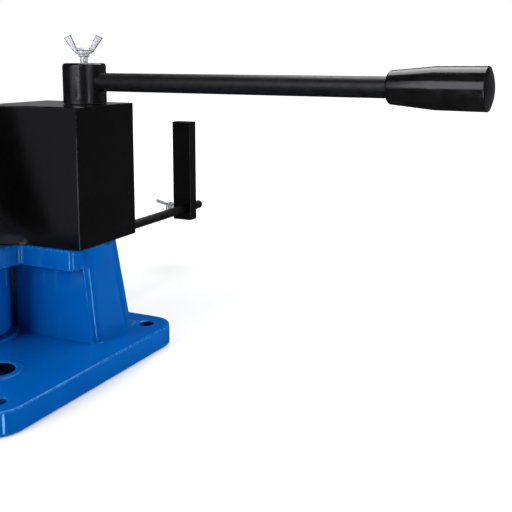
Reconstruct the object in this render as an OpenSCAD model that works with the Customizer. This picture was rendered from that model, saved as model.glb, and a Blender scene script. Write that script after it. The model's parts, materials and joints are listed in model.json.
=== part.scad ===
// Bench bar bender: a flat bar stands on edge in a slot, an eccentric lever
// clamps it, and a swinging arm folds it round the nose of the clamp block.
// X runs along the bar towards the length stop, Y across it, Z up.
// The origin is the centre of the bench bolt pattern, on the underside.

/* [Base plate] */
// Length of the plate along the bar
plate_len = 215; // [200:1:240]
// Width of the plate across the bar
plate_wid = 204; // [200:1:240]
// Thickness of the plate
plate_t = 17; // [12:0.5:20]
// Radius of the plate's corners
plate_corner_r = 22; // [10:1:30]
// Spacing of the bench bolts along the bar
bolt_dx = 175; // [160:1:176]
// Spacing of the bench bolts across the bar
bolt_dy = 164; // [160:1:176]
// Diameter of the bench bolt holes
bolt_hole_d = 12; // [8:0.5:14]
// Diameter of the stop pin socket
socket_d = 27; // [16:1:28]
// Diameter of the boss round the socket
socket_boss_d = 39; // [32:1:44]
// Height of the boss above the plate
socket_boss_h = 1; // [1:0.5:4]
// Distance of the socket in front of the pivot
socket_back = 44.6; // [38:0.1:48]
// Distance of the socket to the right of the pivot
socket_side = 70.7; // [66:0.1:76]

/* [Frame casting] */
// Height of the deck that carries the clamp block
deck_z = 92.5; // [80:1:96]
// Thickness of the deck's lip and nose
deck_t = 16.5; // [12:0.5:18]
// Front edge of the deck, ahead of the block's front face
deck_lip = 1; // [0:0.5:3]
// Setback of the pedestal's front wall from the block's front face
wall_setback = 9.5; // [6:0.5:14]
// Distance from the block's front face to the pedestal's rear edge
ped_reach = 71.5; // [64:0.5:76]
// Inset of the pedestal's right face under the block's right face
ped_inset = 1.5; // [0:0.5:4]
// Radius of the pedestal's rear corners
ped_rear_r = 36; // [28:1:40]
// Radius of the pedestal's front corners
ped_front_r = 7; // [3:0.5:10]
// Draft of the pedestal's sides in degrees
ped_draft = 6; // [3:0.5:8]
// Radius of the deck's nose round the pivot
nose_boss_r = 36; // [32:0.5:40]
// Distance from the pivot to the nose's root on the right
nose_root = 38.5; // [37:0.5:42]
// Radius of the blend between nose and lip
nose_blend_r = 4.5; // [3:0.5:8]
// Inset of the lip's right end under the block's right face
lip_inset = 7.8; // [5:0.1:10]
// Length over which the lip's right side runs out to the pedestal's
lip_run = 22; // [16:1:30]
// Radius of the lip's right corner
lip_corner_r = 6; // [4:0.5:8]
// Radius of the raised ring under the arm
ring_r = 37.5; // [35:0.5:39]
// Height of the raised ring
ring_h = 3; // [2:0.5:5]
// Thickness of the wall behind the fixed jaw
bolster_t = 12; // [10:0.5:16]
// Length of the wall behind the fixed jaw
bolster_len = 68; // [60:1:72]
// Height of the wall behind the fixed jaw
bolster_h = 90; // [80:1:98]
// Radius of the wall's top corners
bolster_r = 16; // [8:1:24]
// Thickness of the two gussets
gusset_t = 10; // [8:0.5:12]
// Spread of the gussets at the plate
gusset_foot = 26; // [18:1:30]

/* [Pivot] */
// Distance of the pivot in front of the block's front face
pivot_ahead = 20.5; // [20:0.5:24]
// Place of the block's front face along the bar
front_x = 17.5; // [14:0.5:20]
// Place of the pivot and of the fixed jaw's face across the bar
pivot_y = 27.5; // [24:0.5:30]
// Diameter of the pivot pin
pivot_d = 30; // [24:1:32]
// Diameter of the head under the plate
pivot_head_d = 40; // [36:1:44]
// Thickness of the head under the plate
pivot_head_t = 6; // [4:0.5:8]
// Diameter of the locking screw in the nose
lock_screw_d = 8; // [6:1:10]

/* [Clamp block] */
// Length of the block along the bar
block_len = 74.5; // [72:0.5:84]
// Width of the block across the bar
block_wid = 91; // [86:0.5:94]
// Height of the block
block_h = 110; // [100:1:120]
// Width of the flat part of the front face
block_flat = 49.5; // [46:0.5:58]
// Gap for the bar with the clamp open
slot_gap = 6.5; // [6.4:0.1:8]
// Setback of the nose behind the pivot
nose_setback = 5; // [4:0.5:7]
// Radius of the bending nose
nose_r = 3; // [1:0.5:5]
// Width of the guide keys
key_w = 8; // [6:0.5:9]
// Height of the guide keys
key_h = 8; // [6:0.5:10]
// Length of the guide keys
key_len = 44; // [36:1:46]
// Depth to which the keys sit in the deck
key_seat = 4; // [3:0.5:4.5]

/* [Fixed jaw] */
// Thickness of the fixed jaw
jaw_t = 18; // [14:0.5:20]
// Length of the fixed jaw
jaw_len = 88; // [82:0.5:92]
// Height of the fixed jaw
jaw_h = 105; // [100:0.5:108]
// Diameter of the jaw and leaf screws
screw_d = 8; // [6:0.5:10]
// Grip of those screws in the black steel
screw_bite = 12; // [9:0.5:13]

/* [Clamp lever] */
// Distance of the eccentric from the block's front face
ecc_set_x = 45.2; // [43:0.1:47]
// Distance of the eccentric from the block's right face
ecc_set_y = 26.2; // [25:0.1:28]
// Throw of the eccentric
ecc_throw = 5; // [3:0.25:5]
// Diameter of the eccentric
ecc_d = 22; // [20:0.5:24]
// Diameter of the shaft's journal
journal_d = 20; // [16:0.5:20]
// Wall of the journal's bush
bush_wall = 4; // [2:0.5:5]
// Angle from open to locked in degrees
lock_angle = 75; // [60:1:80]
// Diameter of the lever's hub
hub_d = 34.5; // [33:0.5:38]
// Height of the lever's hub
hub_h = 32.3; // [31:0.1:36]
// Radius of the hub's top edge
hub_edge_r = 2.5; // [1:0.25:4]
// Height of the lever above the hub's base
rod_rise = 17.3; // [17:0.1:19]
// Diameter of the lever's rod
rod_d = 14.5; // [12:0.5:15]
// Lean of the lever towards the front in degrees
rod_lean = 2.7; // [0:0.1:10]
// Distance from the hub's axis to the end of the grip
lever_reach = 324; // [300:1:380]
// Length of the lever's grip
grip_len = 67; // [60:1:90]
// Diameter of the grip where the rod enters
grip_neck_d = 22.3; // [20:0.1:24]
// Diameter of the grip at its swell
grip_swell_d = 28; // [26:0.1:30]
// Diameter of the grip at its end
grip_end_d = 28.5; // [26:0.1:31]

/* [Bending arm] */
// Diameter of the arm's hub
arm_hub_d = 66; // [62:1:68]
// Radius of the hub's lower edge
arm_hub_edge = 3; // [2:0.5:7]
// Wall of the arm's bushes
arm_bush_wall = 4; // [3:0.5:5]
// Thickness of the bush flanges
arm_flange_t = 1.5; // [1.5:0.25:3]
// Length of the arm's bushes
arm_bush_len = 22; // [18:1:26]
// Length of the bending leaf
leaf_len = 71; // [66:0.5:74]
// Thickness of the bending leaf
leaf_t = 18; // [14:0.5:20]
// Height of the bending leaf
leaf_h = 103.5; // [96:0.5:106]
// Width of the upright behind the leaf
upright_w = 40; // [36:0.5:44]
// Thickness of the upright
upright_t = 20; // [16:0.5:24]
// Height of the upright's top above the deck
upright_rise = 98; // [88:1:102]
// Thickness of the upright's rib
rib_t = 8; // [6:0.5:9]
// Depth of the upright's rib at its foot
rib_depth = 22; // [14:0.5:26]
// Diameter of the handle's socket
handle_boss_d = 38; // [34:0.5:40]
// Length of the handle's socket beyond the upright
handle_boss_len = 44; // [36:0.5:52]
// Diameter of the handle tube
handle_d = 26; // [22:0.5:27]
// Wall of the handle tube
handle_wall = 3; // [2:0.25:4]
// Length of the handle tube
handle_len = 330; // [280:1:420]
// Length of the handle's grip
handle_grip_len = 115; // [95:1:130]
// Diameter of the handle's grip at its end
handle_grip_d = 37; // [34:0.5:40]

/* [Length stop] */
// Diameter of the stop's rod
stop_rod_d = 9.5; // [8:0.5:12]
// Depth of the rod's axis below the deck
stop_drop = 26.1; // [24:0.1:29]
// Length of the rod beyond the pedestal
stop_rod_len = 264; // [220:1:300]
// Depth of the rod in the pedestal
stop_rod_seat = 22; // [15:1:26]
// Distance of the post from the block's rear face
stop_out = 229; // [180:1:235]
// Width of the post across the bar
post_w = 23; // [18:0.5:26]
// Thickness of the post along the bar
post_t = 13.5; // [11:0.5:18]
// Height of the post
post_h = 113; // [100:1:118]
// Height of the rod's axis above the post's foot
post_foot = 12; // [10:0.5:14]

/* [Wing screws] */
// Diameter of the thread
wing_thread_d = 6; // [5:0.5:6.5]
// Span of the wings
wing_span = 31; // [27:0.5:34]
// Diameter of the collar that carries the wings
wing_collar_d = 12; // [11:0.5:13]
// Height of the collar that carries the wings
wing_collar_h = 4.8; // [4:0.2:6]
// Diameter of the neck under the collar
wing_neck_d = 8.8; // [8:0.2:10]
// Height of the neck under the collar
wing_neck_h = 2.2; // [1.5:0.1:3]
// Height of the wings above the neck's foot
wing_h = 17.2; // [15.5:0.1:19]
// Thickness of the wings
wing_t = 2.6; // [2:0.1:3.2]
// Length of thread left showing
wing_stand = 5; // [3:0.5:7]

/* [Fits] */
// Radial clearance of a turning or sliding fit
run_fit = 0.05; // [0.02:0.01:0.08]
// Radial clearance of a fixed fit
seat_fit = 0.02; // [0.01:0.01:0.04]
// Clearance between faces that slide
slide_gap = 0.2; // [0.1:0.05:0.3]
// Clearance of the eccentric in the block
yoke_gap = 0.4; // [0.3:0.05:0.5]
// Clearance of a wing screw's tip from the rod it locks
tip_gap = 0.3; // [0.2:0.05:0.4]

/* [Hidden] */
$fn = 64;
eps = 0.5;
// How far a straight side runs into the arc it meets, so that the two cross cleanly
touch_over = 0.05;

blue = [0.04, 0.33, 0.66];
satin_black = [0.09, 0.09, 0.095];
gloss_black = [0.04, 0.04, 0.045];
zinc = [0.75, 0.76, 0.78];
steel = [0.55, 0.56, 0.58];
bronze = [0.72, 0.52, 0.28];

pivot_x = front_x - pivot_ahead;
block_left = pivot_y - slot_gap;
block_right = block_left - block_wid;
block_rear = front_x + block_len;
block_top = deck_z + slide_gap + block_h;
ecc_x = front_x + ecc_set_x;
ecc_y = block_right + ecc_set_y;

lip_x = front_x - deck_lip;
wall_x = front_x + wall_setback;
ped_rear = front_x + ped_reach;
deck_left = pivot_y + nose_boss_r;
ped_right = block_right + ped_inset;
deck_under = deck_z - deck_t;
ped_flare = (deck_z - plate_t) * tan(ped_draft);
jaw_back = pivot_y + jaw_t;
jaw_front = pivot_x + 0.3;
bolster_x = ped_rear - ped_front_r - bolster_len;
gusset_xs = [bolster_x + gusset_t, bolster_x + bolster_len / 2 + gusset_t];
jaw_screw_xs = [bolster_x + bolster_len / 2 - gusset_t / 2, bolster_x + bolster_len - gusset_t];
screw_low = 24;
screw_edge = 8;
drill_over = 1;
hex_depth = 5;
jaw_screw_zs = [deck_z + screw_low, deck_z + bolster_h - bolster_r - screw_edge / 2];

pivot_recess = 0.7;
lock_screw_len = 12;
set_screw_len = 8;
bush_d = journal_d + 2 * bush_wall;
pocket_d = bush_d + 16;
pocket_h = 22;
washer_t = 4;
washer_d = bush_d + 8;
washer_top = pocket_h - slide_gap;
shaft_screw_d = 8;
shaft_screw_bite = 16;
key_ahead = 29;
key_behind = 19;
key_in = 29;
key_xs = [ecc_x - key_ahead, ecc_x + key_behind];
key_y = block_left - key_in;
key_room = 8;

// The eccentric's angle with the lever open, so that its middle stroke is straight across the bar
ecc_open = 180 + lock_angle / 2;
ecc_off = ecc_throw * [cos(ecc_open), sin(ecc_open)];
ecc_top = block_top + slide_gap;
hub_socket = 14;
hub_socket_h = 9;
rod_dir = -90 - rod_lean;
rod_tail = 5;
grip_hold = 40;
pin_d = 4;
pin_blind = hub_socket / 2 + pin_d;
wing_facing = -64;

ring_top = plate_t + ring_h;
arm_low = ring_top + arm_flange_t;
arm_high = deck_under - slide_gap - arm_flange_t;
arm_bore_d = pivot_d + 2 * arm_bush_wall;
arm_flange_d = arm_bore_d + 12;
leaf_low = deck_z + 1.5;
leaf_start = 0.7;
upright_in = nose_boss_r + 2;
web_low = arm_low + 4;
web_high = arm_high - 5;
web_mid = (web_low + web_high) / 2;
upright_out = upright_in + upright_w;
leaf_screw_us = [upright_in + screw_edge, upright_out - screw_edge];
leaf_screw_zs = [deck_z + screw_low, deck_z + upright_rise - 2.5 * screw_edge];
handle_v = leaf_t + upright_t / 2;
handle_seat = 38;
handle_start = upright_out + handle_boss_len - handle_seat;
handle_grip_hold = 70;
handle_grip_bore_d = handle_d + 2 * seat_fit;

bar_y = pivot_y - slot_gap / 2;
stop_z = deck_z - stop_drop;
stop_boss_d = 22;
stop_boss_x = ped_rear + ped_flare;
stop_nut_af = 16;
stop_nut_t = 8;
post_x = block_rear + stop_out;

// A flat slab whose four corners are true arcs, from the front right corner round to the front left
module rounded_slab(lo, hi, radii, h) {
    corners = [[lo.x, lo.y], [hi.x, lo.y], [hi.x, hi.y], [lo.x, hi.y]];
    inward = [[1, 1], [-1, 1], [-1, -1], [1, -1]];
    along_x = [for (i = [0:3]) corners[i] + [inward[i].x * radii[i], 0]];
    along_y = [for (i = [0:3]) corners[i] + [0, inward[i].y * radii[i]]];
    linear_extrude(h)
        polygon([for (i = [0:3]) each (i % 2 == 0 ? [along_y[i], along_x[i]] : [along_x[i], along_y[i]])]);
    for (i = [0:3])
        translate([corners[i].x + inward[i].x * radii[i], corners[i].y + inward[i].y * radii[i], 0])
            cylinder(r = radii[i], h = h);
}

module at_pivot() {
    translate([pivot_x, pivot_y, 0]) children();
}

// The arm's own directions: first outward along the bar, then away from the bar
module arm_frame() {
    at_pivot() mirror([1, 0, 0]) children();
}

module cap_screw(d, length) {
    translate([0, 0, -length]) cylinder(d = d, h = length);
    difference() {
        cylinder(d = 1.6 * d, h = d);
        translate([0, 0, d / 2]) cylinder(d = d, h = d, $fn = 6);
    }
}

// A wing screw with its neck's foot at the origin and its thread below
module wing_screw(thread_len) {
    translate([0, 0, -thread_len]) cylinder(d = wing_thread_d, h = thread_len + eps);
    cylinder(d = wing_neck_d, h = wing_neck_h + eps);
    translate([0, 0, wing_neck_h]) {
        cylinder(d = wing_collar_d, h = wing_collar_h - 2);
        translate([0, 0, wing_collar_h - 2]) cylinder(d1 = wing_collar_d, d2 = wing_collar_d - 3, h = 2);
    }
    root = wing_neck_h + 0.3;
    for (side = [0, 180])
        rotate([0, 0, side])
            translate([0, wing_t / 2, 0])
                rotate([90, 0, 0])
                    linear_extrude(wing_t)
                        polygon([
                            [0, root], [0.3 * wing_span / 2, root], [0.5 * wing_span / 2, root + 1.4],
                            [wing_span / 2, 0.855 * wing_h], [0.65 * wing_span / 2, wing_h],
                            [0.36 * wing_span / 2, wing_neck_h + wing_collar_h],
                            [0, wing_neck_h + wing_collar_h - eps]
                        ]);
}

// The corners keep their radius and lean out at the draft, but the front wall is upright
module pedestal() difference() {
    hull()
        for (side = [-1, 1], level = [0, 1]) {
            edge = side < 0 ? ped_right : deck_left;
            lean = (1 - level) * ped_flare;
            z = level > 0 ? deck_z - eps : plate_t - eps;
            translate([wall_x + ped_front_r, edge + side * (lean - ped_front_r), z])
                cylinder(r = ped_front_r, h = eps);
            translate([ped_rear + lean - ped_rear_r, edge + side * (lean - ped_rear_r), z])
                cylinder(r = ped_rear_r, h = eps);
        }
    translate([wall_x - ped_rear_r, -plate_wid, 0]) cube([ped_rear_r, 2 * plate_wid, deck_z + eps]);
}

// The nose: a boss round the pivot, a flank that meets the lip in a small blend, and a straight left side
module deck_nose() {
    root = [lip_x, pivot_y - nose_root];
    far = norm([root.x - pivot_x, nose_root]);
    heading = atan2(nose_root, pivot_x - root.x) + asin(nose_boss_r / far);
    flank = [cos(heading), sin(heading)];
    out = [-flank.y, flank.x];
    touch = root + sqrt(far * far - nose_boss_r * nose_boss_r) * flank - touch_over * out;
    blend = root + nose_blend_r * [-1, (1 + out.x) / out.y];
    at_pivot() cylinder(r = nose_boss_r, h = deck_t);
    translate([pivot_x, pivot_y, 0]) cube([lip_x + eps - pivot_x, nose_boss_r, deck_t]);
    difference() {
        linear_extrude(deck_t)
            polygon([
                [lip_x + eps, blend.y], [lip_x, blend.y], blend, blend - nose_blend_r * out, touch,
                [pivot_x, pivot_y], [lip_x + eps, pivot_y]
            ]);
        translate([blend.x, blend.y, -eps]) cylinder(r = nose_blend_r + touch_over, h = deck_t + 2 * eps);
    }
}

// The lip: a straight front edge, a rounded right corner, and a right side that runs out to the pedestal's
module deck_lip_edge() {
    corner = [lip_x, block_right + lip_inset];
    meet = [lip_x + lip_run, ped_right];
    along = (meet - corner) / norm(meet - corner);
    half = acos(along.y) / 2;
    start = lip_corner_r / tan(half);
    centre = corner + [lip_corner_r, start];
    touch = corner + start * along;
    linear_extrude(deck_t)
        polygon([
            corner + [0, start], touch + touch_over * (centre - touch) / lip_corner_r,
            meet, [meet.x + eps, ped_right], [meet.x + eps, deck_left], [lip_x, deck_left]
        ]);
    translate([centre.x, centre.y, 0]) cylinder(r = lip_corner_r, h = deck_t);
}

module deck() translate([0, 0, deck_under]) {
    rounded_slab([lip_x + lip_run, ped_right], [ped_rear, deck_left],
        [0.1, ped_rear_r, ped_rear_r, 0.1], deck_t);
    deck_lip_edge();
    deck_nose();
}

module bolster() {
    top = deck_z + bolster_h;
    translate([0, jaw_back + bolster_t, 0])
        rotate([90, 0, 0])
            rounded_slab([bolster_x, deck_under], [bolster_x + bolster_len, top],
                [0.1, 0.1, bolster_r, bolster_r], bolster_t);
    for (x = gusset_xs)
        translate([x + gusset_t / 2, 0, 0])
            rotate([0, -90, 0])
                linear_extrude(gusset_t)
                    polygon([
                        [plate_t - eps, deck_left - ped_front_r], [deck_under, deck_left - ped_front_r],
                        [deck_under, jaw_back + eps], [top - bolster_r, jaw_back + eps],
                        [top - bolster_r, jaw_back + bolster_t], [plate_t - eps, deck_left + gusset_foot]
                    ]);
}

module base_casting() color(blue) difference() {
    union() {
        rounded_slab(-[plate_len, plate_wid] / 2, [plate_len, plate_wid] / 2,
            [for (i = [0:3]) plate_corner_r], plate_t);
        at_pivot() cylinder(r = ring_r, h = ring_top);
        translate([pivot_x - socket_back, pivot_y - socket_side, 0])
            cylinder(d = socket_boss_d, h = plate_t + socket_boss_h);
        difference() {
            union() {
                pedestal();
                bolster();
            }
            at_pivot() translate([0, 0, ring_top]) cylinder(r = ring_r + 1, h = deck_under - ring_top);
        }
        deck();
        translate([ped_rear - ped_rear_r / 2, bar_y, stop_z])
            rotate([0, 90, 0])
                cylinder(d = stop_boss_d, h = stop_boss_x - ped_rear + ped_rear_r / 2);
    }
    for (x = [-1, 1] * bolt_dx / 2, y = [-1, 1] * bolt_dy / 2)
        translate([x, y, -eps]) cylinder(d = bolt_hole_d, h = plate_t + 2 * eps);
    translate([pivot_x - socket_back, pivot_y - socket_side, -eps])
        cylinder(d = socket_d, h = plate_t + socket_boss_h + 2 * eps);
    at_pivot() translate([0, 0, -eps]) cylinder(d = pivot_d + 2 * seat_fit, h = deck_z + 2 * eps);
    at_pivot() translate([0, 0, -eps])
        cylinder(d = pivot_head_d + 2 * slide_gap, h = pivot_head_t + pivot_recess + eps);
    translate([pivot_x - nose_boss_r - eps, pivot_y, deck_under + deck_t / 2])
        rotate([0, 90, 0]) cylinder(d = lock_screw_d + 2 * seat_fit, h = nose_boss_r);
    translate([ecc_x, ecc_y, -eps]) cylinder(d = bush_d + 2 * seat_fit, h = deck_z + 2 * eps);
    translate([ecc_x, ecc_y, -eps]) cylinder(d = pocket_d, h = pocket_h + eps);
    for (x = key_xs)
        translate([x - key_w / 2 - seat_fit, key_y - key_len / 2 - seat_fit, deck_z - key_seat])
            cube([key_w + 2 * seat_fit, key_len + 2 * seat_fit, key_seat + eps]);
    for (x = jaw_screw_xs, z = jaw_screw_zs)
        translate([x, jaw_back - eps, z])
            rotate([-90, 0, 0]) cylinder(d = screw_d + 2 * slide_gap, h = bolster_t + 2 * eps);
    translate([stop_boss_x - stop_rod_seat, bar_y, stop_z])
        rotate([0, 90, 0]) cylinder(d = stop_rod_d + 2 * seat_fit, h = stop_rod_seat + eps);
}

module pivot_pin() color(steel) at_pivot() {
    translate([0, 0, pivot_recess]) cylinder(d = pivot_head_d, h = pivot_head_t);
    translate([0, 0, pivot_recess]) cylinder(d = pivot_d, h = deck_z - pivot_recess - eps);
}

module pivot_lock_screw() color(steel)
    translate([pivot_x - pivot_d / 2 - seat_fit - lock_screw_len, pivot_y, deck_under + deck_t / 2])
        rotate([0, 90, 0])
            difference() {
                cylinder(d = lock_screw_d, h = lock_screw_len);
                translate([0, 0, -eps]) cylinder(d = lock_screw_d / 2, h = hex_depth, $fn = 6);
            }

module guide_keys() color(steel)
    for (x = key_xs)
        translate([x - key_w / 2, key_y - key_len / 2, deck_z - key_seat])
            cube([key_w, key_len, key_h]);

module eccentric_bush() color(bronze)
    translate([ecc_x, ecc_y, pocket_h])
        difference() {
            cylinder(d = bush_d, h = deck_z - pocket_h);
            translate([0, 0, -eps]) cylinder(d = journal_d + 2 * run_fit, h = deck_z);
        }

module fixed_jaw() color(satin_black) difference() {
    translate([jaw_front, pivot_y, deck_z]) cube([jaw_len, jaw_t, jaw_h]);
    for (x = jaw_screw_xs, z = jaw_screw_zs)
        translate([x, jaw_back - screw_bite - drill_over, z])
            rotate([-90, 0, 0]) cylinder(d = screw_d + 2 * seat_fit, h = screw_bite + drill_over + eps);
}

module fixed_jaw_screws() color(gloss_black)
    for (x = jaw_screw_xs, z = jaw_screw_zs)
        translate([x, jaw_back + bolster_t, z])
            rotate([-90, 0, 0]) cap_screw(screw_d, bolster_t + screw_bite);

module stop_rod() color(gloss_black)
    translate([stop_boss_x - stop_rod_seat, bar_y, stop_z])
        rotate([0, 90, 0]) {
            cylinder(d = stop_rod_d, h = stop_rod_seat + stop_rod_len - 1);
            cylinder(d = stop_rod_d - 2, h = stop_rod_seat + stop_rod_len);
        }

module stop_rod_nut() color(zinc)
    translate([stop_boss_x, bar_y, stop_z])
        rotate([0, 90, 0])
            difference() {
                cylinder(d = stop_nut_af / cos(30), h = stop_nut_t, $fn = 6);
                translate([0, 0, -eps]) cylinder(d = stop_rod_d + 2 * seat_fit, h = stop_nut_t + 2 * eps);
            }

module block_body() {
    centre = [pivot_x + nose_setback + nose_r, block_left - nose_r];
    shoulder = [front_x, block_right + block_flat];
    reach = norm(centre - shoulder);
    heading = atan2(centre.y - shoulder.y, centre.x - shoulder.x) + asin(nose_r / reach);
    touch = shoulder + sqrt(reach * reach - nose_r * nose_r) * [cos(heading), sin(heading)];
    linear_extrude(block_h)
        polygon([
            [front_x, block_right], shoulder, touch, [centre.x, block_left],
            [block_rear, block_left], [block_rear, block_right]
        ]);
    translate([centre.x, centre.y, 0]) cylinder(r = nose_r, h = block_h);
}

module clamp_block() color(satin_black) difference() {
    translate([0, 0, deck_z + slide_gap]) block_body();
    translate([ecc_x, ecc_y + ecc_off.y, deck_z - eps]) {
        near = -ecc_throw - slide_gap;
        far = ecc_off.x + slide_gap;
        for (x = [near, far])
            translate([x, 0, 0]) cylinder(r = ecc_d / 2 + yoke_gap, h = block_h + 2);
        translate([near, -ecc_d / 2 - yoke_gap, 0]) cube([far - near, ecc_d + 2 * yoke_gap, block_h + 2]);
    }
    for (x = key_xs)
        translate([x - key_w / 2 - slide_gap, key_y - key_len / 2 - key_room, deck_z - eps])
            cube([key_w + 2 * slide_gap, key_len + key_room + 1, key_h - key_seat + 2 * slide_gap + eps]);
}

module eccentric_shaft() color(steel)
    translate([ecc_x, ecc_y, 0]) {
        difference() {
            translate([0, 0, washer_top])
                cylinder(d = journal_d, h = deck_z + slide_gap / 2 - washer_top);
            translate([0, 0, washer_top - eps])
                cylinder(d = shaft_screw_d + 2 * seat_fit, h = shaft_screw_bite + drill_over);
        }
        translate([ecc_off.x, ecc_off.y, deck_z + slide_gap / 2])
            cylinder(d = ecc_d, h = ecc_top - deck_z - slide_gap / 2);
        rotate([0, 0, rod_dir])
            translate([-hub_socket / 2, -hub_socket / 2, ecc_top - slide_gap / 2])
                difference() {
                    cube([hub_socket, hub_socket, hub_socket_h - slide_gap / 2]);
                    translate([hub_socket / 2, -eps, (hub_socket_h + slide_gap) / 2])
                        rotate([-90, 0, 0]) cylinder(d = pin_d + 2 * seat_fit, h = hub_socket + 2 * eps);
                }
    }

module shaft_washer() color(zinc)
    translate([ecc_x, ecc_y, washer_top - washer_t])
        difference() {
            cylinder(d = washer_d, h = washer_t);
            translate([0, 0, -eps]) cylinder(d = shaft_screw_d + 2 * seat_fit, h = washer_t + 2 * eps);
        }

module shaft_screw() color(zinc)
    translate([ecc_x, ecc_y, washer_top - washer_t])
        mirror([0, 0, 1]) cap_screw(shaft_screw_d, washer_t + shaft_screw_bite);

module lever_hub() color(gloss_black)
    translate([ecc_x, ecc_y, ecc_top])
        difference() {
            rotate_extrude() {
                square([hub_d / 2, hub_h - hub_edge_r]);
                square([hub_d / 2 - hub_edge_r, hub_h]);
                translate([hub_d / 2 - hub_edge_r, hub_h - hub_edge_r]) circle(r = hub_edge_r);
            }
            rotate([0, 0, rod_dir]) {
                translate([-1, -1, 0] * (hub_socket / 2 + seat_fit) - [0, 0, eps])
                    cube([hub_socket + 2 * seat_fit, hub_socket + 2 * seat_fit, hub_socket_h + eps]);
                translate([0, -pin_blind, hub_socket_h / 2])
                    rotate([-90, 0, 0]) cylinder(d = pin_d + 2 * seat_fit, h = 2 * hub_d);
                translate([-rod_tail - 0.3, 0, rod_rise])
                    rotate([0, 90, 0]) cylinder(d = rod_d + 2 * seat_fit, h = hub_d);
            }
            translate([0, 0, rod_rise]) cylinder(d = wing_thread_d + 2 * run_fit, h = hub_h);
        }

module hub_pin() color(gloss_black)
    translate([ecc_x, ecc_y, ecc_top + hub_socket_h / 2])
        rotate([0, 0, rod_dir])
            rotate([-90, 0, 0])
                translate([0, 0, slide_gap - pin_blind])
                    cylinder(d = pin_d, h = hub_d / 2 - 1 + pin_blind - slide_gap);

// A handle's grip: a cone, then a straight length, then a shallow domed end
module turned_grip(length, neck_d, swell_d, end_d, bore_d, hold) {
    swell_at = 0.46 * length;
    cap_h = end_d / 9.5;
    cap_r = (end_d * end_d / 4 + cap_h * cap_h) / (2 * cap_h);
    steps = 8;
    sweep = asin(end_d / 2 / cap_r);
    cap = [for (i = [0:steps]) [
        cap_r * sin(sweep * (1 - i / steps)),
        length - cap_r + cap_r * cos(sweep * (1 - i / steps))
    ]];
    difference() {
        rotate_extrude()
            polygon(concat([[0, 0], [neck_d / 2 - 1, 0], [neck_d / 2, 1], [swell_d / 2, swell_at]], cap));
        translate([0, 0, -eps]) cylinder(d = bore_d, h = hold + eps);
    }
}

module on_lever(distance) {
    translate([ecc_x, ecc_y, ecc_top + rod_rise])
        rotate([0, 0, rod_dir])
            translate([distance, 0, 0])
                rotate([0, 90, 0]) children();
}

module lever_rod() color(gloss_black)
    on_lever(-rod_tail) cylinder(d = rod_d, h = lever_reach - grip_len + grip_hold + rod_tail);

module lever_grip() color(gloss_black)
    on_lever(lever_reach - grip_len)
        turned_grip(grip_len, grip_neck_d, grip_swell_d, grip_end_d, rod_d + 2 * seat_fit, grip_hold + 0.3);

module hub_wing_screw() color(zinc)
    translate([ecc_x, ecc_y, ecc_top + hub_h + wing_stand])
        rotate([0, 0, wing_facing])
            wing_screw(wing_stand + hub_h - rod_rise - rod_d / 2 - tip_gap);

module arm_casting() color(blue) difference() {
    arm_frame() {
        translate([0, 0, arm_low])
            rotate_extrude() {
                translate([0, arm_hub_edge]) square([arm_hub_d / 2, arm_high - arm_low - arm_hub_edge]);
                square([arm_hub_d / 2 - arm_hub_edge, arm_hub_edge + eps]);
                translate([arm_hub_d / 2 - arm_hub_edge, arm_hub_edge]) circle(r = arm_hub_edge);
            }
        translate([0, 0, web_low])
            linear_extrude(web_high - web_low)
                polygon([
                    [0, 2], [upright_out, 4], [upright_out, leaf_t + upright_t],
                    [upright_in, leaf_t + upright_t], [0, arm_hub_d / 2]
                ]);
        translate([0, leaf_t + upright_t, 0])
            rotate([90, 0, 0])
                rounded_slab([upright_in, web_low], [upright_out, deck_z + upright_rise],
                    [0.1, 0.1, 12, 12], upright_t);
        translate([(upright_in + upright_out - rib_t) / 2, 0, 0])
            rotate([90, 0, 90])
                linear_extrude(rib_t)
                    polygon([
                        [leaf_t + upright_t - eps, web_low], [leaf_t + upright_t + rib_depth, web_low],
                        [leaf_t + upright_t + rib_depth, web_mid],
                        [leaf_t + upright_t, deck_z + upright_rise - 24],
                        [leaf_t + upright_t - eps, deck_z + upright_rise - 24]
                    ]);
        translate([upright_out - upright_w / 2, handle_v, web_mid])
            rotate([0, 90, 0]) cylinder(d = handle_boss_d, h = upright_w / 2 + handle_boss_len);
    }
    arm_frame() {
        translate([0, 0, arm_low - eps]) cylinder(d = arm_bore_d + 2 * seat_fit, h = deck_z);
        translate([handle_start - 0.3, handle_v, web_mid])
            rotate([0, 90, 0]) cylinder(d = handle_d + 2 * seat_fit, h = handle_boss_len + upright_w);
        translate([upright_out + handle_boss_len / 2, handle_v, web_mid])
            cylinder(d = screw_d + 2 * seat_fit, h = handle_boss_d);
        for (u = leaf_screw_us, z = leaf_screw_zs)
            translate([u, leaf_t - eps, z])
                rotate([-90, 0, 0]) cylinder(d = screw_d + 2 * slide_gap, h = upright_t + 2 * eps);
    }
}

// A bush with its flange at the foot
module flanged_bush(length) {
    difference() {
        union() {
            cylinder(d = arm_flange_d, h = arm_flange_t);
            cylinder(d = arm_bore_d, h = length);
        }
        translate([0, 0, -eps]) cylinder(d = pivot_d + 2 * run_fit, h = length + 2 * eps);
    }
}

module arm_bush_lower() color(bronze)
    at_pivot() translate([0, 0, ring_top]) flanged_bush(arm_bush_len);

module arm_bush_upper() color(bronze)
    at_pivot() translate([0, 0, arm_high + arm_flange_t]) mirror([0, 0, 1]) flanged_bush(arm_bush_len);

module bending_leaf() color(satin_black) arm_frame() difference() {
    translate([leaf_start, 0, leaf_low]) cube([leaf_len, leaf_t, leaf_h]);
    for (u = leaf_screw_us, z = leaf_screw_zs)
        translate([u, leaf_t - screw_bite - drill_over, z])
            rotate([-90, 0, 0]) cylinder(d = screw_d + 2 * seat_fit, h = screw_bite + drill_over + eps);
}

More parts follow.
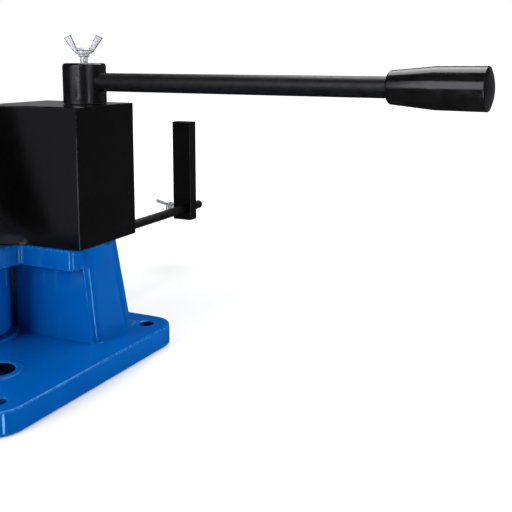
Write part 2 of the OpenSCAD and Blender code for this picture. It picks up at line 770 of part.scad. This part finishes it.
module leaf_screws() color(gloss_black) arm_frame()
    for (u = leaf_screw_us, z = leaf_screw_zs)
        translate([u, leaf_t + upright_t, z])
            rotate([-90, 0, 0]) cap_screw(screw_d, upright_t + screw_bite);

module on_handle(distance) {
    arm_frame()
        translate([distance, handle_v, web_mid])
            rotate([0, 90, 0]) children();
}

module handle_tube() color(satin_black)
    on_handle(handle_start)
        difference() {
            cylinder(d = handle_d, h = handle_len);
            translate([0, 0, -eps]) cylinder(d = handle_d - 2 * handle_wall, h = handle_len + 2 * eps);
        }

module handle_grip() color(gloss_black)
    on_handle(handle_start + handle_len - handle_grip_hold)
        turned_grip(handle_grip_len, handle_d + 6, handle_grip_d - 1, handle_grip_d,
            handle_grip_bore_d, handle_grip_hold + 0.3);

module handle_set_screw() color(gloss_black) arm_frame()
    translate([upright_out + handle_boss_len / 2, handle_v, web_mid + handle_d / 2 + seat_fit])
        difference() {
            cylinder(d = screw_d, h = set_screw_len);
            translate([0, 0, set_screw_len - hex_depth + eps])
                cylinder(d = screw_d / 2, h = hex_depth, $fn = 6);
        }

module stop_post() color(satin_black) difference() {
    translate([post_x, bar_y - post_w / 2, stop_z - post_foot]) cube([post_t, post_w, post_h]);
    translate([post_x - eps, bar_y, stop_z])
        rotate([0, 90, 0]) cylinder(d = stop_rod_d + 2 * run_fit, h = post_t + 2 * eps);
    translate([post_x + post_t / 2, bar_y, stop_z])
        rotate([-90, 0, 0]) cylinder(d = wing_thread_d + 2 * run_fit, h = post_w);
}

module stop_wing_screw() color(zinc)
    translate([post_x + post_t / 2, bar_y + post_w / 2 + wing_stand, stop_z])
        rotate([-90, 0, 0])
            rotate([0, 0, 40])
                wing_screw(wing_stand + (post_w - stop_rod_d) / 2 - tip_gap);

base_casting();
pivot_pin();
pivot_lock_screw();
guide_keys();
eccentric_bush();
fixed_jaw();
fixed_jaw_screws();
stop_rod();
stop_rod_nut();
clamp_block();
eccentric_shaft();
shaft_washer();
shaft_screw();
lever_hub();
hub_pin();
lever_rod();
lever_grip();
hub_wing_screw();
arm_casting();
arm_bush_lower();
arm_bush_upper();
bending_leaf();
leaf_screws();
handle_tube();
handle_grip();
handle_set_screw();
stop_post();
stop_wing_screw();
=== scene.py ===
import json
import math

import bmesh
import bpy
from mathutils import Matrix, Vector


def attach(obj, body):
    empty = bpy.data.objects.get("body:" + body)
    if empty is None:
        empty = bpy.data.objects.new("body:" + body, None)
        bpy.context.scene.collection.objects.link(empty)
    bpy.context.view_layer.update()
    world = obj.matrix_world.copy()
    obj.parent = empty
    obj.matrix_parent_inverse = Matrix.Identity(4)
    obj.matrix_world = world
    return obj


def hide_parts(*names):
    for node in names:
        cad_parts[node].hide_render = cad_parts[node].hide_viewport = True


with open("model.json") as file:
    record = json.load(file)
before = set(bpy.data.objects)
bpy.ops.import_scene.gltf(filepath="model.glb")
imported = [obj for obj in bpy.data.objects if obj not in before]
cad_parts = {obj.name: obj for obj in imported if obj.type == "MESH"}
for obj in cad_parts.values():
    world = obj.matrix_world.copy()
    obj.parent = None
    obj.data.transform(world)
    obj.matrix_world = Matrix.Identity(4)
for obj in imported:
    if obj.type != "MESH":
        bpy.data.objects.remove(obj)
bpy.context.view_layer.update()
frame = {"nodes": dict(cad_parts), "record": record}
cadNodes = frame["nodes"]
scene = bpy.context.scene
mm = 0.001
white = (1.0, 1.0, 1.0)
print("frame loaded:", len(cadNodes), "nodes")


# Shader helpers

def newFinish(name):
    mat = bpy.data.materials.new(name)
    mat.use_nodes = True
    tree = mat.node_tree
    return mat, tree, tree.nodes["Principled BSDF"]


def objectPoint(tree, stretch=(1.0, 1.0, 1.0)):
    coord = tree.nodes.new("ShaderNodeTexCoord")
    mapping = tree.nodes.new("ShaderNodeMapping")
    mapping.inputs["Scale"].default_value = stretch
    tree.links.new(coord.outputs["Object"], mapping.inputs["Vector"])
    return mapping.outputs["Vector"]


def noise(tree, point, scale, detail, rough=0.55):
    tex = tree.nodes.new("ShaderNodeTexNoise")
    tex.inputs["Scale"].default_value = scale
    tex.inputs["Detail"].default_value = detail
    tex.inputs["Roughness"].default_value = rough
    tree.links.new(point, tex.inputs["Vector"])
    return tex.outputs["Fac"]


def ramp(tree, value, stops):
    node = tree.nodes.new("ShaderNodeValToRGB")
    bar = node.color_ramp
    while len(bar.elements) < len(stops):
        bar.elements.new(0.5)
    for element, (place, colour) in zip(bar.elements, stops):
        element.position = place
        element.color = (*colour, 1.0)
    tree.links.new(value, node.inputs["Fac"])
    return node.outputs["Color"]


def spread(tree, value, low, high, fromLow=0.3, fromHigh=0.7):
    node = tree.nodes.new("ShaderNodeMapRange")
    node.inputs["From Min"].default_value = fromLow
    node.inputs["From Max"].default_value = fromHigh
    node.inputs["To Min"].default_value = low
    node.inputs["To Max"].default_value = high
    tree.links.new(value, node.inputs["Value"])
    return node.outputs["Result"]


def multiply(tree, a, b):
    node = tree.nodes.new("ShaderNodeMath")
    node.operation = "MULTIPLY"
    node.use_clamp = True
    tree.links.new(a, node.inputs[0])
    tree.links.new(b, node.inputs[1])
    return node.outputs["Value"]


def mixColour(tree, share, under, over):
    node = tree.nodes.new("ShaderNodeMix")
    node.data_type = "RGBA"
    tree.links.new(share, node.inputs["Factor"])
    first, second = (s for s in node.inputs if s.type == "RGBA")
    tree.links.new(under, first)
    second.default_value = (*over, 1.0)
    return next(s for s in node.outputs if s.type == "RGBA")


def bump(tree, shader, height, depth, strength, corner=0.0, cornerSamples=8):
    node = tree.nodes.new("ShaderNodeBump")
    node.inputs["Distance"].default_value = depth
    node.inputs["Strength"].default_value = strength
    tree.links.new(height, node.inputs["Height"])
    if corner:
        soft = tree.nodes.new("ShaderNodeBevel")
        soft.samples = cornerSamples
        soft.inputs["Radius"].default_value = corner
        tree.links.new(soft.outputs["Normal"], node.inputs["Normal"])
    tree.links.new(node.outputs["Normal"], shader.inputs["Normal"])


def faceMark(tree, name):
    node = tree.nodes.new("ShaderNodeAttribute")
    node.attribute_name = name
    return node.outputs["Fac"]


# Finishes: clouded body colour, an edge colour on the broken edges (rubbed wear, and on the blue
# enamel and satin black a painted highlight line), uneven roughness and a fine grain
# A noise is its scale and detail, with its own roughness where a third number follows

def makeFinish(name, spec):
    mat, tree, shader = newFinish(name)
    point = objectPoint(tree, spec.get("stretch", (1.0, 1.0, 1.0)))
    colour = ramp(tree, noise(tree, point, *spec["cloud"]), spec["stops"])
    # the edge colour over the broken edges; on the blue enamel and satin black it is a painted
    # highlight
    if "wear" in spec:
        wear = spec["wear"]
        patches = spread(tree, noise(tree, point, *wear["noise"]), *wear["share"], *wear["between"])
        rubbedAndHighlit = multiply(tree, faceMark(tree, "edgeWearAndHighlight"), patches)
        colour = mixColour(tree, rubbedAndHighlit, colour, spec["worn"])
    # dark navy painted down the plate's holes: painted shade on the bore walls
    if "bore" in spec:
        colour = mixColour(tree, faceMark(tree, "bore"), colour, spec["bore"])
    tree.links.new(colour, shader.inputs["Base Color"])
    rough = spec["rough"]
    uneven = spread(tree, noise(tree, point, *rough["noise"]), *rough["range"])
    tree.links.new(uneven, shader.inputs["Roughness"])
    if "grain" in spec:
        grain = dict(spec["grain"])
        bump(tree, shader, noise(tree, point, *grain.pop("noise")), **grain)
    shader.inputs["Metallic"].default_value = spec.get("metallic", 0.0)
    shader.inputs["Specular IOR Level"].default_value = spec.get("specular", 0.5)
    return mat


enamelSpec = {
    "cloud": (22.0, 5.0),
    "stops": [
        (0.3, (0.0002, 0.090, 0.390)),
        (0.5, (0.0003, 0.100, 0.415)),
        (0.72, (0.0005, 0.110, 0.440)),
    ],
    # lighter blue along the broken edges: a painted highlight line, partly rubbed paint
    "wear": {"noise": (480.0, 2.0), "share": (0.0, 0.4), "between": (0.46, 0.64)},
    "worn": (0.060, 0.300, 0.700),
    # painted shade for the walls of the socket and bolt holes
    "bore": (0.0004, 0.004, 0.020),
    "rough": {"noise": (140.0, 4.0), "range": (0.08, 0.13)},
    "grain": {"noise": (420.0, 2.0, 0.5), "depth": 0.03 * mm, "strength": 0.5, "corner": 2.2 * mm},
    "calmSpot": (0.033, -0.0685, 0.0865),  # no corner line where the lip runs out to the pedestal
    "calmReach": (10.0 * mm, 12.0 * mm),
    "calmShare": (0.05, 1.0),
    "sheen": (0.5, 0.02),  # on open paint and down a bore
    "tint": (0.22, 0.66, 1.0),
}


def makeBlueEnamel():
    mat = makeFinish("blueEnamel", enamelSpec)
    tree = mat.node_tree
    shader = tree.nodes["Principled BSDF"]
    apart = tree.nodes.new("ShaderNodeVectorMath")
    apart.operation = "DISTANCE"
    tree.links.new(objectPoint(tree), apart.inputs[0])
    apart.inputs[1].default_value = enamelSpec["calmSpot"]
    calm = spread(tree, apart.outputs["Value"], *enamelSpec["calmShare"], *enamelSpec["calmReach"])
    sheen = spread(tree, faceMark(tree, "bore"), *enamelSpec["sheen"], 0.0, 1.0)
    tree.links.new(multiply(tree, calm, sheen), shader.inputs["Specular IOR Level"])
    shader.inputs["Specular Tint"].default_value = (*enamelSpec["tint"], 1.0)
    return mat


satinSpec = {
    "cloud": (30.0, 6.0),
    "stops": [(0.3, (0.0010, 0.0010, 0.0012)), (0.7, (0.0020, 0.0020, 0.0022))],
    # lighter grey along the block's broken edges: a painted edge highlight
    "wear": {"noise": (120.0, 4.0), "share": (0.0, 1.0), "between": (0.40, 0.60)},
    "worn": (0.010, 0.010, 0.011),
    "rough": {"noise": (60.0, 5.0), "range": (0.10, 0.14)},
    "grain": {"noise": (420.0, 3.0), "depth": 0.10 * mm, "strength": 0.3},
    "specular": 0.25,
    "sheen": (0.25, 0.05),  # on plain and on dull faces
}


def makeSatinBlack():
    mat = makeFinish("satinBlack", satinSpec)
    tree = mat.node_tree
    sheen = spread(tree, faceMark(tree, "dull"), *satinSpec["sheen"], 0.0, 1.0)
    tree.links.new(sheen, tree.nodes["Principled BSDF"].inputs["Specular IOR Level"])
    return mat


rodSpec = {
    "cloud": (220.0, 6.0, 0.6),
    "stops": [(0.36, (0.003, 0.003, 0.0033)), (0.70, (0.009, 0.009, 0.0095))],
    "wear": {"noise": (150.0, 4.0), "share": (0.0, 1.0), "between": (0.4, 0.6)},
    "worn": (0.06, 0.06, 0.063),
    "rough": {"noise": (170.0, 5.0), "range": (0.34, 0.48)},
    "grain": {"noise": (500.0, 4.0), "depth": 0.05 * mm, "strength": 0.3},
    "specular": 0.4,
}
glossSpec = {
    "cloud": (60.0, 5.0),
    "stops": [(0.3, (0.003, 0.003, 0.0034)), (0.7, (0.007, 0.007, 0.0075))],
    "wear": {"noise": (160.0, 4.0), "share": (0.0, 0.9), "between": (0.42, 0.62)},
    "worn": (0.06, 0.06, 0.063),
    "rough": {"noise": (90.0, 4.0), "range": (0.16, 0.30)},
    "grain": {"noise": (300.0, 3.0), "depth": 0.05 * mm, "strength": 0.3},
    "specular": 0.6,
}
oxideSpec = {
    "cloud": (180.0, 5.0),
    "stops": [(0.35, (0.008, 0.008, 0.010)), (0.7, (0.030, 0.030, 0.034))],
    "wear": {"noise": (300.0, 4.0), "share": (0.0, 1.0), "between": (0.4, 0.6)},
    "worn": (0.22, 0.22, 0.22),
    "rough": {"noise": (250.0, 4.0), "range": (0.30, 0.48)},
    "metallic": 0.6,
}
gripSpec = {
    "cloud": (70.0, 4.0),
    "stops": [(0.3, (0.003, 0.003, 0.0032)), (0.7, (0.007, 0.007, 0.0075))],
    "rough": {"noise": (120.0, 5.0), "range": (0.10, 0.22)},
    "grain": {"noise": (260.0, 3.0), "depth": 0.04 * mm, "strength": 0.25},
}
zincSpec = {
    "cloud": (160.0, 5.0),
    "stops": [(0.3, (0.44, 0.45, 0.47)), (0.65, (0.68, 0.69, 0.71))],
    "wear": {"noise": (240.0, 3.0), "share": (0.75, 1.0), "between": (0.3, 0.7)},
    "worn": (0.03, 0.03, 0.033),
    "rough": {"noise": (320.0, 4.0), "range": (0.20, 0.38)},
    "grain": {"noise": (300.0, 3.0), "depth": 0.02 * mm, "strength": 0.3},
    "metallic": 0.3,
}
steelSpec = {
    "stretch": (1.0, 1.0, 14.0),  # turning marks run round the pins
    "cloud": (90.0, 5.0),
    "stops": [(0.3, (0.06, 0.06, 0.064)), (0.7, (0.13, 0.13, 0.135))],
    "rough": {"noise": (150.0, 4.0), "range": (0.36, 0.52)},
    "grain": {"noise": (220.0, 3.0), "depth": 0.04 * mm, "strength": 0.5},
    "metallic": 1.0,
}
bronzeSpec = {
    "stretch": (1.0, 1.0, 10.0),
    "cloud": (80.0, 5.0),
    "stops": [(0.3, (0.30, 0.16, 0.06)), (0.7, (0.56, 0.34, 0.14))],
    "rough": {"noise": (140.0, 4.0), "range": (0.28, 0.46)},
    "grain": {"noise": (200.0, 3.0), "depth": 0.05 * mm, "strength": 0.5},
    "metallic": 1.0,
}

finishes = {
    "blue_enamel": makeBlueEnamel(),
    "black_steel": makeSatinBlack(),
    "black_rod": makeFinish("mottledRod", rodSpec),
    "black_gloss": makeFinish("glossBlack", glossSpec),
    "black_oxide": makeFinish("blackOxide", oxideSpec),
    "grip_plastic": makeFinish("gripPlastic", gripSpec),
    "zinc_plate": makeFinish("zincPlate", zincSpec),
    "ground_steel": makeFinish("groundSteel", steelSpec),
    "bronze": makeFinish("bronze", bronzeSpec),
}
print("finishes made:", len(finishes))


# Pieces: each solid keeps its place and gets broken edges, wide on castings, narrow on turned work

breakSpec = {
    "base_casting": {"width": 1.6, "steps": 3, "slivers": True},
    "arm_casting": {"width": 1.6, "steps": 3},
    "clamp_block": {"width": 0.9, "steps": 4},
    "fixed_jaw": {"width": 0.8, "steps": 3},
    "bending_leaf": {"width": 0.8, "steps": 3},
    "stop_post": {"width": 0.6, "steps": 3},
    "lever_hub": {"width": 0.5, "steps": 2},
    "lever_rod": {"width": 0.8, "steps": 2},
    "stop_rod": {"width": 0.4, "steps": 2},
    "handle_tube": {"width": 0.6, "steps": 2},
    "lever_grip": {"width": 0.8, "steps": 3},
    "handle_grip": {"width": 1.0, "steps": 3},
    "hub_wing_screw": {"width": 0.5, "steps": 3},
    "stop_wing_screw": {"width": 0.5, "steps": 3},
    "stop_rod_nut": {"width": 0.5, "steps": 2},
    "fixed_jaw_screws": {"width": 0.5, "steps": 2},
    "leaf_screws": {"width": 0.5, "steps": 2},
    "handle_set_screw": {"width": 0.4, "steps": 2},
    "pivot_lock_screw": {"width": 0.4, "steps": 2},
    "shaft_washer": {"width": 0.4, "steps": 2},
    "shaft_screw": {"width": 0.4, "steps": 2},
    "guide_keys": {"width": 0.4, "steps": 2},
    "pivot_pin": {"width": 0.8, "steps": 2},
    "hub_pin": {"width": 0.4, "steps": 2},
    "eccentric_shaft": {"width": 0.3, "steps": 2},
    "eccentric_bush": {"width": 0.4, "steps": 2},
    "arm_bush_lower": {"width": 0.4, "steps": 2},
    "arm_bush_upper": {"width": 0.4, "steps": 2},
}
edgeSpec = {
    "weld": 0.002 * mm,
    "flatAngle": math.radians(0.4),  # faces as flat as this are joined first
    "sharpAngle": math.radians(28),  # corners past this are broken
    "creaseAngle": math.radians(40),  # shading stays crisp past this
    "sliver": 0.15 * mm,  # thin faces that a piece with slivers loses before its break
    "speck": 0.004 * mm,  # faces of no size, lost after it
    "spare": 2.1,  # room that a break needs beside it, in widths
    "least": 0.25,  # with less room than this share of the width, only a piece with slivers is broken
}
foldSpec = {"rounds": 6, "angle": math.radians(150), "reach": 0.7 * mm}
boreSpec = {"socketShade": 1.0, "boltShade": 0.6, "wallTilt": 0.3, "skin": 0.1 * mm}
dullSpec = {"node": "stop_post", "facing": -0.9}  # the post's side towards the block

record = frame["record"]
nodeSlot = {part["node"]: part["material_slot"] for part in record["subparts"]}
nodeBody = {node: body for body, nodes in record["behaviour"]["bodies"].items() for node in nodes}


def findPlateBores():
    mounts = {mount["name"]: mount for mount in record["mounts"]}
    socket, bolts = mounts["stop_pin_socket"], mounts["bench_bolts"]["dims"]
    bores = [(*socket["pos_m"][:2], socket["dims"]["r_mm"] * mm, boreSpec["socketShade"])]
    for x in (-1, 1):
        for y in (-1, 1):
            place = (x * bolts["spacing_x_mm"] * mm / 2, y * bolts["spacing_y_mm"] * mm / 2)
            bores.append((*place, bolts["hole_r_mm"] * mm, boreSpec["boltShade"]))
    return bores


plateBores = findPlateBores()


# how much painted shade a face down one of the plate's holes gets
def shadeInBore(face):
    centre = face.calc_center_median()
    if abs(face.normal.z) > boreSpec["wallTilt"]:
        return 0.0
    for x, y, radius, shade in plateBores:
        if math.hypot(centre.x - x, centre.y - y) < radius + boreSpec["skin"]:
            return shade
    return 0.0


def pieceName(node):
    words = node.split("_")
    return words[0] + "".join(word.capitalize() for word in words[1:])


# Widest break that fits on both sides of every edge in a chain
def roomBeside(chain):
    room = []
    for edge in chain:
        start, end = (vert.co for vert in edge.verts)
        along = (end - start).normalized()
        for face in edge.link_faces:
            reaches = [v.co - start - along * along.dot(v.co - start) for v in face.verts]
            room.append(max(reach.length for reach in reaches))
    return min(room) / edgeSpec["spare"]


# Sharp edges that run on into each other, so that an outline is broken alike all along
def edgeChains(edges):
    left = {edge.index: edge for edge in edges}
    chosen = set(left)
    chains = []
    while left:
        stack = [left.pop(min(left))]
        chain = []
        while stack:
            edge = stack.pop()
            chain.append(edge)
            for vert in edge.verts:
                near = [e.index for e in vert.link_edges if e.index in chosen]
                if len(near) == 2:
                    stack += [left.pop(i) for i in near if i in left]
        chains.append((chain, roomBeside(chain)))
    return chains


def breakChains(bm, edges, width, steps, wear):
    made = bmesh.ops.bevel(
        bm, geom=edges, offset=width, offset_type="OFFSET", segments=steps,
        profile=0.5, affect="EDGES", clamp_overlap=False, material=-1,
    )
    # the faces of a break carry the mark for the edge colour, partly wear and partly a painted
    # highlight
    for face in made["faces"]:
        face[wear] = 1.0


def dropSpecks(bm, reach):
    bmesh.ops.dissolve_degenerate(bm, dist=reach, edges=bm.edges)


def isSharp(edge):
    return len(edge.link_faces) == 2 and edge.calc_face_angle() > edgeSpec["sharpAngle"]


# A thin face that a break has turned over is closed up along its shortest edge
def mendFolds(bm):
    for _ in range(foldSpec["rounds"]):
        short = set()
        for edge in bm.edges:
            if len(edge.link_faces) == 2 and edge.calc_face_angle() > foldSpec["angle"]:
                small = min(edge.link_faces, key=lambda f: f.calc_area())
                least = min(small.edges, key=lambda e: e.calc_length())
                if least.calc_length() < foldSpec["reach"]:
                    short.add(least)
        if not short:
            break
        bmesh.ops.collapse(bm, edges=list(short))
        dropSpecks(bm, edgeSpec["speck"])
        bm.normal_update()


def breakEdges(bm, width, steps, slivers):
    if slivers:
        dropSpecks(bm, edgeSpec["sliver"])
    tight = bm.edges.layers.int.new("tight")  # made before the edges are picked, or they are lost
    wear = bm.faces.layers.float.new("edgeWearAndHighlight")
    bm.edges.index_update()
    least = edgeSpec["least"] * width
    wide, narrow = [], []
    for chain, room in edgeChains([e for e in bm.edges if isSharp(e) and e.is_convex]):
        if room > width or (slivers and room < least):
            wide += chain
        elif room > least:
            narrow.append(room)
            for edge in chain:
                edge[tight] = 1
    breakChains(bm, wide, width, steps, wear)
    left = [e for e in bm.edges if e[tight] and isSharp(e)]
    if left:
        breakChains(bm, left, min(narrow), steps, wear)
    dropSpecks(bm, edgeSpec["speck"])
    bm.normal_update()
    if not slivers:
        mendFolds(bm)


def markFaces(bm, node):
    bore = bm.faces.layers.float.new("bore")
    dull = bm.faces.layers.float.new("dull")
    for face in bm.faces:
        face.smooth = True
        if node == dullSpec["node"] and face.normal.x < dullSpec["facing"]:
            face[dull] = 1.0
        # faces down the plate's holes get painted shade
        if node == "base_casting":
            face[bore] = shadeInBore(face)


def makePiece(node, width, steps, slivers=False):
    bm = bmesh.new()
    bm.from_mesh(cadNodes[node].data)
    bmesh.ops.remove_doubles(bm, verts=bm.verts, dist=edgeSpec["weld"])
    bmesh.ops.dissolve_limit(bm, angle_limit=edgeSpec["flatAngle"], verts=bm.verts, edges=bm.edges)
    breakEdges(bm, width * mm, steps, slivers)
    markFaces(bm, node)
    name = pieceName(node)
    mesh = bpy.data.meshes.new(name)
    bm.to_mesh(mesh)
    bm.free()
    mesh.set_sharp_from_angle(angle=edgeSpec["creaseAngle"])
    mesh.materials.append(finishes[nodeSlot[node]])
    piece = bpy.data.objects.new(name, mesh)
    scene.collection.objects.link(piece)
    keep = piece.modifiers.new("flatFaces", "WEIGHTED_NORMAL")
    keep.keep_sharp = True
    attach(piece, nodeBody[node])
    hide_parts(node)


for node, spec in breakSpec.items():
    makePiece(node, **spec)
print("edges broken:", len(breakSpec))


# Studio

floorSpec = {
    "half": 40.0,
    "drop": 0.2 * mm,
    "cloud": (3.0, 2.0),
    "stops": [(0.3, (0.86, 0.86, 0.86)), (0.7, (0.90, 0.90, 0.90))],
    "roughness": 0.7,
    "glow": (0.16, 1.0),  # from the lit floor near the tool to the white backdrop
    "fade": (0.45, 1.5),
}


def makeFloor():
    mat, tree, shader = newFinish("paleFloor")
    point = objectPoint(tree)
    body = ramp(tree, noise(tree, point, *floorSpec["cloud"]), floorSpec["stops"])
    tree.links.new(body, shader.inputs["Base Color"])
    shader.inputs["Roughness"].default_value = floorSpec["roughness"]
    away = tree.nodes.new("ShaderNodeVectorMath")
    away.operation = "LENGTH"
    tree.links.new(point, away.inputs[0])
    glow = spread(tree, away.outputs["Value"], *floorSpec["glow"], *floorSpec["fade"])
    shader.inputs["Emission Color"].default_value = (*white, 1.0)
    tree.links.new(glow, shader.inputs["Emission Strength"])
    bm = bmesh.new()
    bmesh.ops.create_grid(bm, x_segments=1, y_segments=1, size=floorSpec["half"])
    bmesh.ops.translate(bm, verts=bm.verts, vec=(0, 0, -floorSpec["drop"]))
    mesh = bpy.data.meshes.new("floor")
    bm.to_mesh(mesh)
    bm.free()
    mesh.materials.append(mat)
    floor = bpy.data.objects.new("floor", mesh)
    floor.visible_glossy = False
    scene.collection.objects.link(floor)


makeFloor()

# Some lamps light the paint without a mirror image, others only show as bands on the black work
lampSpec = {
    "keyLeft": {"place": (-1.40, 0.60, 0.85), "size": (1.1, 1.0), "watts": 27.0, "mirrors": False},
    "sideRight": {
        "place": (0.45, -1.70, 0.55), "size": (1.2, 1.0), "watts": 15.0, "mirrors": False,
    },
    "overheadRear": {"place": (0.75, -0.1, 1.55), "size": (1.4, 1.4), "watts": 25.0},
    "lowRear": {"place": (2.6, 1.2, 0.45), "size": (2.4, 0.7), "watts": 1.0},
    "softLeft": {"place": (-1.63, 0.13, 0.80), "size": (1.24, 1.2), "watts": 13.0, "lights": False},
    "softRight": {"place": (-0.71, -1.56, 0.74), "size": (1.0, 1.2), "watts": 4.5, "lights": False},
    "stripLeft": {
        "place": (-1.63, -0.14, -0.42), "size": (0.22, 0.9), "watts": 11.0, "lights": False,
    },
    "stripRight": {
        "place": (-0.80, -1.52, -0.42), "size": (0.20, 0.9), "watts": 11.0, "lights": False,
    },
    "cardLeft": {
        "place": (-0.584, 0.405, 0.086), "size": (0.3, 0.9), "watts": 0.45, "lights": False,
        "leanDeg": -35.0,
    },
    "cardRear": {"place": (1.23, -0.98, 0.0), "size": (1.2, 1.0), "watts": 0.35, "lights": False},
}
lampAim = Vector((0.03, -0.08, 0.15))
mirrorTint = (0.93, 0.92, 1.0)


def makeLamp(name, place, size, watts, lights=True, mirrors=True, leanDeg=0.0):
    lamp = bpy.data.lights.new(name, "AREA")
    lamp.shape = "RECTANGLE"
    lamp.size, lamp.size_y = size
    lamp.energy = watts
    lamp.color = white if lights else mirrorTint
    holder = bpy.data.objects.new(name, lamp)
    holder.location = place
    facing = (lampAim - Vector(place)).to_track_quat("-Z", "Y").to_matrix()
    holder.rotation_euler = (facing @ Matrix.Rotation(math.radians(leanDeg), 3, "Z")).to_euler()
    holder.visible_camera = False
    holder.visible_diffuse = lights
    holder.visible_glossy = mirrors
    scene.collection.objects.link(holder)


for name, spec in lampSpec.items():
    makeLamp(name, **spec)

worldSpec = {"backdrop": 1.0, "fill": 0.10, "mirrored": 0.02}


def makeWorld():
    world = bpy.data.worlds.new("studio")
    world.use_nodes = True
    tree = world.node_tree
    light = tree.nodes["Background"]
    light.inputs["Color"].default_value = (*white, 1.0)
    path = tree.nodes.new("ShaderNodeLightPath")
    glossy = tree.nodes.new("ShaderNodeMix")
    glossy.inputs["A"].default_value = worldSpec["fill"]
    glossy.inputs["B"].default_value = worldSpec["mirrored"]
    seen = tree.nodes.new("ShaderNodeMix")
    seen.inputs["B"].default_value = worldSpec["backdrop"]
    tree.links.new(path.outputs["Is Glossy Ray"], glossy.inputs["Factor"])
    tree.links.new(glossy.outputs["Result"], seen.inputs["A"])
    tree.links.new(path.outputs["Is Camera Ray"], seen.inputs["Factor"])
    tree.links.new(seen.outputs["Result"], light.inputs["Strength"])
    scene.world = world


makeWorld()
scene.view_settings.view_transform = "Standard"
print("studio lit")


# Camera at the photograph's angle

cameraSpec = {
    "place": (-0.46365, -0.45533, 0.23932),
    "headingRad": 0.4556,
    "pitchDeg": 8.0,
    "focalPixels": 807.4,
    "imagePixels": 512.0,
    "sensorWidth": 36.0,
    "shiftY": -0.1653,
    "clipStart": 0.01,
}


def makeCamera():
    lens = bpy.data.cameras.new("camera")
    lens.sensor_width = cameraSpec["sensorWidth"]
    lens.lens = cameraSpec["focalPixels"] / cameraSpec["imagePixels"] * lens.sensor_width
    lens.shift_y = cameraSpec["shiftY"]
    lens.clip_start = cameraSpec["clipStart"]
    camera = bpy.data.objects.new("camera", lens)
    heading, pitch = cameraSpec["headingRad"], math.radians(cameraSpec["pitchDeg"])
    level = math.cos(pitch)
    forward = Vector((math.cos(heading) * level, math.sin(heading) * level, -math.sin(pitch)))
    camera.location = cameraSpec["place"]
    camera.rotation_euler = forward.to_track_quat("-Z", "Y").to_euler()
    scene.collection.objects.link(camera)
    scene.camera = camera


makeCamera()
